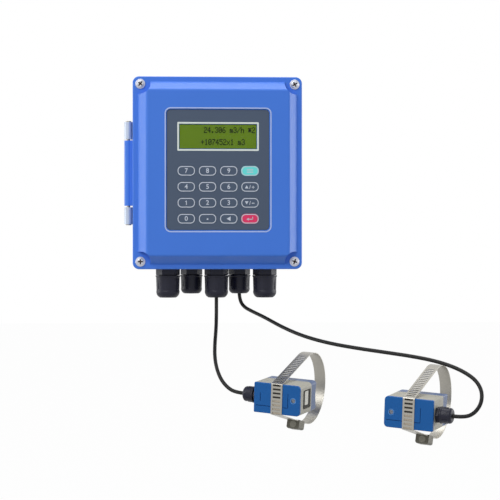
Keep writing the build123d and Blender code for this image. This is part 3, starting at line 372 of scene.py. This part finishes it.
def make_materials():
    """Every surface of the scene, by the short name that the pieces use."""
    lcd_green = colour(97, 128, 4)
    cap = {"spread": 0.03, "bump": 0.2, "bump_scale": 2600.0}
    circuit = {"rough": 0.45, "spread": 0.12, "grain": 220.0, "bump": 0.3}
    turned = {"metallic": 1.0, "spread": 0.06, "grain": 300.0, "bump": 0.2, "bump_scale": 1400.0}
    moulded = {"spread": 0.04, "grain": 70.0, "bump": 0.3, "bump_scale": 2000.0}
    return {
        "paint": make_material(
            "case_paint", colour(63, 122, 224), 0.44, spread=0.03, grain=25.0, bump=0.25,
            bump_scale=700.0, Coat_Weight=0.06, Coat_Roughness=0.3, Specular_IOR_Level=0.4),
        # Pale blue of the painted highlight round the keypad recess
        "highlight_paint": make_material("recess_painted_highlight", colour(178, 196, 240), 0.4, spread=0.03, grain=25.0),
        "silver": make_material(
            "hinge_silver", colour(190, 200, 216), 0.36, metallic=0.3, grain=90.0, bump=0.15,
            bump_scale=2500.0),
        "panel": make_material(
            "panel_film", colour(64, 79, 101), 0.55, spread=0.04, grain=30.0, bump=0.35,
            bump_scale=2600.0, bump_depth=0.03 * MM),
        "teal": make_material("key_teal", colour(104, 230, 226), 0.5, **cap),
        "red": make_material("key_red", colour(228, 44, 100), 0.5, **cap),
        "print": make_material("white_print", colour(205, 212, 224), 0.6, spread=0.02),
        "frame_print": make_material(
            "display_frame_print", colour(226, 235, 228), 0.55, spread=0.02),
        # The display's green also glows faintly, a painted glow that lightens it
        "lcd": make_material(
            "lcd_green", lcd_green, 0.3, spread=0.10, grain=18.0, Specular_IOR_Level=0.2,
            Emission_Color=lcd_green, Emission_Strength=0.10),
        "lcd_dots": make_material(
            "lcd_dots", colour(6, 12, 4), 0.8, spread=0.05, Specular_IOR_Level=0.1),
        "window": make_material(
            "window_clear", colour(120, 130, 120), 0.10, spread=0.01, rough_spread=0.03,
            Alpha=0.03, IOR=1.45, Specular_IOR_Level=0.2),
        "board": make_material(
            "board_green", colour(24, 92, 52), **circuit,
            coats=[("Y", 0.0, BOARD_FACE, colour(34, 34, 38)),
                   ("Y", 0.0, RELAY_FOOT, colour(38, 84, 158)),
                   ("Y", 0.0, CAPACITOR_TOP, colour(186, 188, 192))]),
        "key_board": make_material(
            "key_board_green", colour(24, 92, 52), **circuit,
            coats=[("Y", 0.0, SWITCH_FACE, colour(44, 44, 48))]),
        "module": make_material(
            "display_module", colour(20, 78, 46), **circuit,
            coats=[("Y", 0.0, MODULE_FACE, colour(58, 56, 54))]),
        "core": make_material(
            "transformer_core", colour(84, 82, 80), 0.5, spread=0.16, grain=240.0, bump=0.4,
            stretch=(1, 1, 8), coats=[("Z", COIL_MIDDLE, COIL_HALF, colour(198, 156, 62))]),
        "terminal": make_material(
            "terminal_green", colour(40, 132, 70), 0.35, spread=0.04,
            coats=[("Y", 0.0, TERMINAL_FACE, colour(34, 116, 60))]),
        "nylon": make_material(
            "nylon_black", colour(22, 23, 40), 0.42, spread=0.10, grain=120.0, bump=0.35,
            bump_scale=1800.0, Specular_IOR_Level=0.3),
        "rubber": make_material("rubber_black", colour(24, 24, 26), 0.75, spread=0.1, bump=0.2),
        "cable": make_material(
            "cable_sheath", colour(16, 16, 15), 0.5, spread=0.10, grain=200.0, bump=0.3,
            bump_scale=2200.0, Specular_IOR_Level=0.25),
        "steel": make_material(
            "stainless", colour(164, 161, 153), 0.36, metallic=1.0, spread=0.06, grain=300.0,
            rough_spread=0.10, bump=0.25, bump_scale=1400.0, stretch=(1, 1, 4)),
        "screw_steel": make_material("screw_steel", colour(192, 194, 204), 0.34, **turned),
        "worm_steel": make_material("worm_steel", colour(126, 124, 115), 0.38, **turned),
        "lock_steel": make_material("lock_steel", colour(98, 96, 88), 0.42, **turned),
        # Dark blue of the painted shade in the cover's engraved lines
        "groove_shade_blue": make_material(
            "groove_shade_blue", colour(4, 30, 76), 0.7, spread=0.03, Specular_IOR_Level=0.1),
        # Near black of the painted shade in the screws' cross recesses
        "recess_painted_shade": make_material(
            "recess_painted_shade", colour(58, 48, 50), 0.8, spread=0.05, Specular_IOR_Level=0.1),
        "steel_dark": make_material(
            "steel_dark", colour(120, 126, 136), 0.45, metallic=0.9, grain=300.0),
        "blue_plastic": make_material(
            "sensor_blue", colour(8, 88, 158), 0.46, **moulded, Specular_IOR_Level=0.3),
        "shoe_plastic": make_material("shoe_blue", colour(64, 88, 130), 0.4, **moulded),
        "grey_plastic": make_material("sensor_grey", colour(164, 161, 148), 0.5, **moulded),
        "tail_steel": make_material(
            "tail_steel", colour(168, 158, 142), 0.5, metallic=0.5, spread=0.06, grain=300.0),
        "ring_blue": make_material("ring_blue", colour(110, 160, 215), 0.45, spread=0.03),
        "plate_dark": make_material(
            "plate_dark", colour(44, 42, 38), 0.6, spread=0.08, Specular_IOR_Level=0.2),
        "plate_pale": make_material("plate_pale", colour(214, 212, 202), 0.55, spread=0.03),
    }


def dress_cad(materials):
    """Gives every CAD node its surface."""
    finish = {
        "base_housing": "paint", "lid": "paint", "hinge_brackets": "silver", "hinge_pin": "steel",
        "lid_gasket": "rubber", "lid_screws": "screw_steel", "keypad_overlay": "panel",
        "display_window": "window", "display_module": "module", "keypad_board": "key_board",
        "main_board": "board", "power_transformer": "core", "terminal_blocks": "terminal",
        "small_screws": "steel_dark", "gland_locknuts": "nylon", "gland_seals": "rubber",
        "key_menu": "teal", "key_enter": "red",
    }
    by_start = {
        "key_": "panel", "gland_": "nylon", "sensor_gland": "nylon",
        "sensor_housing": "grey_plastic", "sensor_cover": "blue_plastic",
        "sensor_shoe": "shoe_plastic", "strap_lock": "lock_steel", "strap_screw": "worm_steel",
        "strap_": "steel", "cable_": "cable",
    }
    for name, node in nodes.items():
        kind = finish.get(name)
        if kind is None:
            kind = next(value for start, value in by_start.items() if name.startswith(start))
        node.data.materials.clear()
        node.data.materials.append(materials[kind])


def add_object(name, data, material, body):
    """A piece of the scene, with its surface and the body it rides on."""
    piece = bpy.data.objects.new(name, data)
    bpy.context.scene.collection.objects.link(piece)
    data.materials.append(material)
    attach(piece, body)
    return piece


def mesh_from(bm, name):
    """The finished mesh, with its faces turned outwards."""
    bmesh.ops.recalc_face_normals(bm, faces=bm.faces)
    mesh = bpy.data.meshes.new(name)
    bm.to_mesh(mesh)
    bm.free()
    return mesh


def rounded_outline(width, height, radius, steps=8):
    """Corner points of a rounded rectangle in X and Z, anticlockwise."""
    points = []
    for i, (sx, sz) in enumerate(QUARTERS):
        cx = sx * (width / 2 - radius)
        cz = sz * (height / 2 - radius)
        for k in range(steps + 1):
            angle = math.radians(90 * i + 90 * k / steps)
            points.append((cx + radius * math.cos(angle), cz + radius * math.sin(angle)))
    return points


def plate_mesh(bm, outline, x, z, back, thickness):
    """A flat plate on the front: outline in X and Z, from Y = -back towards the viewer."""
    rear = [bm.verts.new((x + px, -back, z + pz)) for px, pz in outline]
    front = [bm.verts.new((x + px, -back - thickness, z + pz)) for px, pz in outline]
    bm.faces.new(front)
    bm.faces.new(list(reversed(rear)))
    for i in range(len(outline)):
        j = (i + 1) % len(outline)
        bm.faces.new((rear[i], rear[j], front[j], front[i]))


def ring_mesh(bm, width, height, radius, line, x, z, back, thickness):
    """A printed outline: the band between a rounded rectangle and the one inside it."""
    outer = rounded_outline(width, height, radius)
    inner = rounded_outline(width - 2 * line, height - 2 * line, max(radius - line, LEAST_CORNER))
    band_mesh(bm, outer, inner, x, z, back, thickness)


def band_mesh(bm, outer, inner, x, z, back, thickness):
    """A closed band between two outlines that have the same number of points."""
    loops = []
    for outline in (outer, inner):
        for depth in (back, back + thickness):
            loops.append([bm.verts.new((x + px, -depth, z + pz)) for px, pz in outline])
    outer_back, outer_front, inner_back, inner_front = loops
    count = len(outer)
    for i in range(count):
        j = (i + 1) % count
        bm.faces.new((outer_front[i], outer_front[j], inner_front[j], inner_front[i]))
        bm.faces.new((outer_back[i], inner_back[i], inner_back[j], outer_back[j]))
        bm.faces.new((outer_back[i], outer_back[j], outer_front[j], outer_front[i]))
        bm.faces.new((inner_back[i], inner_front[i], inner_front[j], inner_back[j]))


def legend_mesh(text, size, x, z, front):
    """A digit as a thin mesh that faces the viewer."""
    curve = bpy.data.curves.new("legend", "FONT")
    curve.body = text
    curve.size = size
    curve.align_x = "CENTER"
    curve.align_y = "CENTER"
    curve.extrude = PRINT_T
    curve.offset = DIGIT_BOLDNESS * size
    helper = bpy.data.objects.new("legend", curve)
    bpy.context.scene.collection.objects.link(helper)
    bpy.context.view_layer.update()
    evaluated = helper.evaluated_get(bpy.context.evaluated_depsgraph_get())
    mesh = bpy.data.meshes.new_from_object(evaluated)
    bpy.data.objects.remove(helper)
    mesh.transform(Matrix.Translation((x, -front, z)) @ Matrix.Rotation(math.radians(90), 4, "X"))
    return mesh


def key_place(row, column):
    """X and Z of the middle of a key."""
    return (column - KEY_MIDDLE_COLUMN) * KEY_COLUMN_PITCH, KEY_TOP_Z - row * KEY_ROW_PITCH


def triangle(way, size):
    """Corner points of a filled arrow head: up, down or left."""
    base = [(-0.5, -0.43), (0.5, -0.43), (0.0, 0.43)]
    if way == "down":
        base = [(-x, -z) for x, z in base]
    if way == "left":
        base = [(-z, x) for x, z in base]
    return [(x * size, z * size) for x, z in base]


def sign_mesh(key, x, z, front):
    """The drawn sign of a key: an arrow head, a stroke and bars, as far as it has them."""
    bm = bmesh.new()
    if key in SIGN_ARROWS:
        way, size, dx, dz = SIGN_ARROWS[key]
        plate_mesh(bm, triangle(way, size * MM), x + dx * MM, z + dz * MM, front, PRINT_T)
    if key in SIGN_STROKES:
        dx, stroke = SIGN_STROKES[key]
        outline = [(px * MM, pz * MM) for px, pz in stroke]
        plate_mesh(bm, outline, x + dx * MM, z, front, PRINT_T)
    for bar in SIGN_BARS.get(key, []):
        dx, dz, width, height = (size * MM for size in bar)
        outline = rounded_outline(width, height, min(width, height) * BAR_ROUNDING, 3)
        plate_mesh(bm, outline, x + dx, z + dz, front, PRINT_T)
    return mesh_from(bm, f"sign_{key}")


def make_keys(materials):
    """Outline and sign of each key, on the key's own body."""
    ink = materials["print"]
    for row, names in enumerate(KEY_ROWS):
        for column, key in enumerate(names):
            x, z = key_place(row, column)
            low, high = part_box(f"key_{key}")
            front = -low.y + SIGN_LIFT
            width = high.x - low.x - OUTLINE_LESS
            height = high.z - low.z - OUTLINE_LESS
            bm = bmesh.new()
            ring_mesh(bm, width, height, OUTLINE_CORNER, OUTLINE_W, x, z, front - OUTLINE_SINK,
                      PRINT_T)
            outline = mesh_from(bm, f"key_outline_{key}")
            add_object(f"key_outline_{key}", outline, ink, f"key_{key}")
            if key in KEY_DIGITS:
                mesh = legend_mesh(KEY_DIGITS[key], DIGIT_SIZE, x, z, front)
            else:
                mesh = sign_mesh(key, x, z, front)
            add_object(f"key_sign_{key}", mesh, ink, f"key_{key}")


def make_display(materials):
    """Printed frame, green glass and dot characters behind the clear window."""
    panel_front = -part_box("keypad_overlay")[0].y
    bm = bmesh.new()
    ring_mesh(bm, FRAME_W, FRAME_H, FRAME_CORNER, FRAME_LINE, 0, DISPLAY_Z,
              panel_front + FRAME_LIFT, PRINT_T)
    add_object("display_frame_print", mesh_from(bm, "display_frame_print"),
               materials["frame_print"], "lid")

    window_back = -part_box("display_window")[1].y
    glass_front = window_back - LCD_GAP
    bm = bmesh.new()
    plate_mesh(bm, rounded_outline(LCD_W, LCD_H, LCD_CORNER), 0, DISPLAY_Z, glass_front - LCD_T,
               LCD_T)
    add_object("lcd_glass", mesh_from(bm, "lcd_glass"), materials["lcd"], "lid")

    bm = bmesh.new()
    dot_w = DOT_PITCH_X * DOT_FILL_X / 2
    dot_h = DOT_PITCH_Z * DOT_FILL_Z / 2
    dot = [(-dot_w, -dot_h), (dot_w, -dot_h), (dot_w, dot_h), (-dot_w, dot_h)]
    for text, left, middle in LCD_ROWS:
        for place, letter in enumerate(text):
            for line, pattern in enumerate(DOT_FONT.get(letter, [])):
                for column, on in enumerate(pattern):
                    if on == "1":
                        x = left + place * CHARACTER_PITCH + (column + 0.5) * DOT_PITCH_X
                        z = middle + (DOT_MIDDLE_LINE - line) * DOT_PITCH_Z
                        plate_mesh(bm, dot, x, z, glass_front, DOT_T)
    add_object("lcd_dots", mesh_from(bm, "lcd_dots"), materials["lcd_dots"], "lid")


def make_recess_highlight(materials):
    """Pale ring round the keypad recess, a painted highlight for the light on the recess chamfer.
    """
    low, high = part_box("keypad_overlay")
    width = high.x - low.x + 2 * HIGHLIGHT_OFFSET
    height = high.z - low.z + 2 * HIGHLIGHT_OFFSET
    bm = bmesh.new()
    ring_mesh(bm, width, height, HIGHLIGHT_CORNER, HIGHLIGHT_W, 0, PANEL_Z, LID_FACE - HIGHLIGHT_SINK,
              HIGHLIGHT_SINK + HIGHLIGHT_T)
    add_object("recess_painted_highlight", mesh_from(bm, "recess_painted_highlight"), materials["highlight_paint"], "lid")


def held_inside(x, z, corner_x, corner_z, radius):
    """A point, moved in if it lies outside the rounded corner round corner_x and corner_z."""
    dx = max(x - corner_x, 0)
    dz = max(z - corner_z, 0)
    reach = math.hypot(dx, dz)
    if reach <= radius:
        return x, z
    return min(x, corner_x) + dx * radius / reach, min(z, corner_z) + dz * radius / reach


def make_gasket(materials):
    """The gasket with rounded corners, and the paint that closes the lid's rim outside them."""
    low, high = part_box("lid_gasket")
    half_x = (high.x - low.x) / 2
    half_z = (high.z - low.z) / 2
    back = -high.y
    thickness = high.y - low.y
    corner_x = half_x - GASKET_CORNER
    corner_z = half_z - GASKET_CORNER

    bm = bmesh.new()
    ring_mesh(bm, 2 * half_x, 2 * half_z, GASKET_CORNER, GASKET_W, 0, 0, back, thickness)
    turns = [math.radians(360 * k / GASKET_EYE_STEPS) for k in range(GASKET_EYE_STEPS)]
    rays = [(math.cos(turn), math.sin(turn)) for turn in turns]
    hole_r = GASKET_EYE_R - GASKET_W
    eye = [
        held_inside(SCREW_X + GASKET_EYE_R * c, SCREW_Z + GASKET_EYE_R * s, corner_x, corner_z,
                    GASKET_CORNER)
        for c, s in rays
    ]
    hole = [(SCREW_X + hole_r * c, SCREW_Z + hole_r * s) for c, s in rays]
    for sx, sz in QUARTERS:
        outer = [(sx * x, sz * z) for x, z in eye]
        inner = [(sx * x, sz * z) for x, z in hole]
        band_mesh(bm, outer, inner, 0, 0, back, thickness)
    gasket = add_object("lid_gasket_rounded", mesh_from(bm, "lid_gasket_rounded"),
                        materials["rubber"], "lid")
    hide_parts("lid_gasket")

    bm = bmesh.new()
    arc = [
        math.radians(RIM_ARC_START + RIM_ARC_SWEEP * k / RIM_ARC_STEPS)
        for k in range(RIM_ARC_STEPS + 1)
    ]
    crescent = [(GASKET_CORNER * math.cos(a), GASKET_CORNER * math.sin(a)) for a in arc]
    for a in reversed(arc):
        radius = min(RIM_CORNER, GASKET_CORNER / max(math.cos(a), math.sin(a)))
        crescent.append((radius * math.cos(a), radius * math.sin(a)))
    for sx, sz in QUARTERS:
        outline = [(sx * x, sz * z) for x, z in crescent]
        plate_mesh(bm, outline, sx * corner_x, sz * corner_z, back, thickness)
    add_object("lid_rim_corners", mesh_from(bm, "lid_rim_corners"), materials["paint"], "lid")


def make_cables(materials):
    """Each cable as one smooth cord from its gland under the case to its sensor's gland."""
    for side in SIDES:
        curve = bpy.data.curves.new(f"cord_{side}", "CURVE")
        curve.dimensions = "3D"
        curve.bevel_depth = CABLE_D / 2
        curve.bevel_resolution = 6
        curve.resolution_u = 16
        curve.use_fill_caps = True
        spline = curve.splines.new("NURBS")
        route = [Vector(p) * MM for p in CABLE_ROUTES[side]]
        spline.points.add(len(route) - 1)
        for point, place in zip(spline.points, route):
            point.co = (*place, 1.0)
        spline.order_u = 3
        spline.use_endpoint_u = True
        piece = add_object(f"cord_{side}", curve, materials["cable"], "case")
        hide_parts(f"cable_{side}")


def sensor_matrix(side, turned):
    """Frame of one sensor: X along the pipe, or back along it if turned, and Z out of its front."""
    along = -PIPE_ALONG if turned else PIPE_ALONG
    up = SENSOR_FRONT_WAY.cross(along)
    matrix = Matrix((along, up, SENSOR_FRONT_WAY)).transposed().to_4x4()
    matrix.translation = SENSOR_CENTRES[side]
    return matrix


def make_sensor_plates(materials):
    """Bare two-tone plate in the recess at each sensor's free end."""
    middle = SENSOR_FRONT - WINDOW_SETBACK - WINDOW_SIZE / 2
    floor = SENSOR_L / 2 - WINDOW_DEPTH
    face_end = Matrix(((0, -1, 0, 0), (0, 0, 1, 0), (-1, 0, 0, 0), (0, 0, 0, 1)))
    for side in SIDES:
        place = sensor_matrix(side, turned=side == "right")
        for kind, material, *sizes in PLATE_LAYERS:
            width, height, corner, rise, thickness = (size * MM for size in sizes)
            bm = bmesh.new()
            plate_mesh(bm, rounded_outline(width, height, corner, 4), 0, rise, 0, thickness)
            mesh = mesh_from(bm, kind)
            turn = Matrix.Translation((floor, 0, middle)) @ face_end
            mesh.transform(place @ turn)
            add_object(f"{kind}_{side}", mesh, materials[material], "case")


def facing_front(mesh, place, x, y, z):
    """Lays a plate drawn on the front of the case onto a sensor's front instead."""
    lay = Matrix.Rotation(math.radians(90), 4, "X").inverted()
    mesh.transform(place @ Matrix.Translation((x, y, z)) @ lay)


def make_slot_fills(materials):
    """Behind the strap's slots: painted shade in the open gap of the upper half, the band's tail in
    the lower half.
    """
    outline = rounded_outline(SLOT_FILL_L, SLOT_FILL_W, SLOT_FILL_CORNER, 3)
    half = SLOT_COUNT // 2
    for side in SIDES:
        place = sensor_matrix(side, turned=False)
        for kind, material, first in (("slot_shade", "plate_dark", half),
                                      ("slot_tail", "tail_steel", 0)):
            bm = bmesh.new()
            for i in range(first, first + half):
                z = (i - (SLOT_COUNT - 1) / 2) * SLOT_PITCH
                plate_mesh(bm, outline, 0, z, 0, SLOT_FILL_T)
            mesh = mesh_from(bm, kind)
            facing_front(mesh, place, 0, 0, SENSOR_FRONT + SLOT_FILL_LIFT)
            add_object(f"{kind}_{side}", mesh, materials[material], "case")


def add_line_strips(name, side, strips, thickness, material):
    """Narrow strips that lie in the lines engraved in one sensor's cover."""
    bm = bmesh.new()
    for x, y, width, height in strips:
        outline = rounded_outline(width * MM, height * MM, LINE_CORNER, 2)
        plate_mesh(bm, outline, x * MM, y * MM, 0, thickness)
    mesh = mesh_from(bm, name)
    facing_front(mesh, sensor_matrix(side, turned=False), 0, 0, LINE_FLOOR)
    add_object(f"{name}_{side}", mesh, material, "case")


def make_cover_lines(materials):
    """Painted shade on the floors of the engraved lines. The right cover has its screw in the first
    one.
    """
    dark = materials["groove_shade_blue"]
    add_line_strips("cover_lines", "left", COVER_LINES, LINE_FILL_T, dark)
    add_line_strips("cover_lines", "right", COVER_LINES[1:], LINE_FILL_T, dark)
    add_line_strips("cover_plug", "right", LINE_PLUGS, LINE_DEPTH, materials["blue_plastic"])


def make_cross_recess_shades(materials):
    """Painted shade: a dark plate on the floor of the cross recess in each lid screw."""
    half_l = CROSS_L / 2
    half_w = CROSS_W / 2
    arm = [(half_w, half_w), (half_w, half_l), (-half_w, half_l)]
    quarter_turns = ((1, 0), (0, 1), (-1, 0), (0, -1))  # cosine and sine
    cross = [(x * c - z * s, x * s + z * c) for c, s in quarter_turns for x, z in arm]
    for i, (sx, sz) in enumerate(((-1, -1), (1, -1), (-1, 1), (1, 1))):
        bm = bmesh.new()
        plate_mesh(bm, cross, 0, 0, CROSS_FLOOR, CROSS_FILL_T)
        mesh = mesh_from(bm, "cross_recess")
        turn = Matrix.Rotation(math.radians(SCREW_TURN * i), 4, "Y")
        mesh.transform(Matrix.Translation((sx * SCREW_X, 0, sz * SCREW_Z)) @ turn)
        add_object(f"cross_recess_{i + 1}", mesh, materials["recess_painted_shade"], "lid")


def make_screw_rings(materials):
    """Pale ring round the cover screw of each sensor."""
    for side in SIDES:
        bm = bmesh.new()
        ring_mesh(bm, RING_D, RING_D, RING_D / 2, RING_LINE, 0, 0, 0, PRINT_T)
        mesh = mesh_from(bm, "screw_ring")
        place = sensor_matrix(side, turned=side == "right")
        facing_front(mesh, place, COVER_SCREW_X, 0, SENSOR_FRONT)
        add_object(f"screw_ring_{side}", mesh, materials["ring_blue"], "case")


def seen_rays(tree):
    """One where the camera, a reflection or clear plastic sees the background, else zero."""
    path = tree.nodes.new("ShaderNodeLightPath")
    total = path.outputs["Is Camera Ray"]
    for kind in ("Is Glossy Ray", "Is Transmission Ray"):
        larger = tree.nodes.new("ShaderNodeMath")
        larger.operation = "MAXIMUM"
        tree.links.new(total, larger.inputs[0])
        tree.links.new(path.outputs[kind], larger.inputs[1])
        total = larger.outputs["Value"]
    return total


def make_floor():
    """Pale floor that keeps the object's shadow."""
    bm = bmesh.new()
    bm.faces.new([bm.verts.new((x, y, FLOOR_Z)) for x, y in FLOOR_CORNERS])
    floor = bpy.data.objects.new("floor", mesh_from(bm, "floor"))
    bpy.context.scene.collection.objects.link(floor)
    material = bpy.data.materials.new("floor_white")
    material.use_nodes = True
    tree = material.node_tree
    shader = tree.nodes["Principled BSDF"]
    shader.inputs["Base Color"].default_value = FLOOR_BASE
    shader.inputs["Roughness"].default_value = FLOOR_ROUGH
    glow = tree.nodes.new("ShaderNodeEmission")
    glow.inputs["Strength"].default_value = 1.0
    share = tree.nodes.new("ShaderNodeMath")
    share.operation = "MULTIPLY"
    share.inputs[1].default_value = FLOOR_GLOW_SHARE
    tree.links.new(seen_rays(tree), share.inputs[0])
    mix = tree.nodes.new("ShaderNodeMixShader")
    tree.links.new(share.outputs["Value"], mix.inputs["Fac"])
    tree.links.new(shader.outputs["BSDF"], mix.inputs[1])
    tree.links.new(glow.outputs["Emission"], mix.inputs[2])
    tree.links.new(mix.outputs["Shader"], tree.nodes["Material Output"].inputs["Surface"])
    floor.data.materials.append(material)


def make_surround():
    """World that lights the object softly, and is white where it is seen."""
    world = bpy.data.worlds.new("studio")
    bpy.context.scene.world = world
    world.use_nodes = True
    tree = world.node_tree
    surround = tree.nodes["Background"]
    surround.inputs["Color"].default_value = SURROUND_COLOUR
    surround.inputs["Strength"].default_value = SURROUND_STRENGTH
    seen = tree.nodes.new("ShaderNodeBackground")
    seen.inputs["Color"].default_value = WHITE
    seen.inputs["Strength"].default_value = 1.0
    mix = tree.nodes.new("ShaderNodeMixShader")
    tree.links.new(seen_rays(tree), mix.inputs["Fac"])
    tree.links.new(surround.outputs["Background"], mix.inputs[1])
    tree.links.new(seen.outputs["Background"], mix.inputs[2])
    tree.links.new(mix.outputs["Shader"], tree.nodes["World Output"].inputs["Surface"])


def make_lights():
    """Soft round lights that all look at the object."""
    for name, (place, size, power) in LIGHTS.items():
        light = bpy.data.lights.new(name, "AREA")
        light.shape = "DISK"
        light.size = size
        light.energy = power
        lamp = bpy.data.objects.new(name, light)
        bpy.context.scene.collection.objects.link(lamp)
        lamp.location = place
        way = Vector(LIGHT_TARGET) - Vector(place)
        lamp.rotation_euler = way.to_track_quat("-Z", "Y").to_euler()


def make_camera():
    """The camera of the photograph."""
    data = bpy.data.cameras.new("camera")
    data.sensor_width = SENSOR_WIDTH
    data.lens = FOCAL_PIXELS / IMAGE_SIZE * SENSOR_WIDTH
    data.clip_end = CAMERA_REACH
    camera = bpy.data.objects.new("camera", data)
    bpy.context.scene.collection.objects.link(camera)
    camera.location = CAMERA_PLACE
    camera.rotation_euler = (math.radians(90 - CAMERA_PITCH), 0, math.radians(CAMERA_YAW))
    bpy.context.scene.camera = camera


def main():
    bpy.context.scene.view_settings.view_transform = "Standard"
    materials = make_materials()
    make_camera()
    make_cables(materials)
    dress_cad(materials)
    make_keys(materials)
    make_display(materials)
    make_recess_highlight(materials)
    make_sensor_plates(materials)
    make_slot_fills(materials)
    make_screw_rings(materials)
    make_cover_lines(materials)
    make_gasket(materials)
    make_cross_recess_shades(materials)
    make_floor()
    make_surround()
    make_lights()


main()
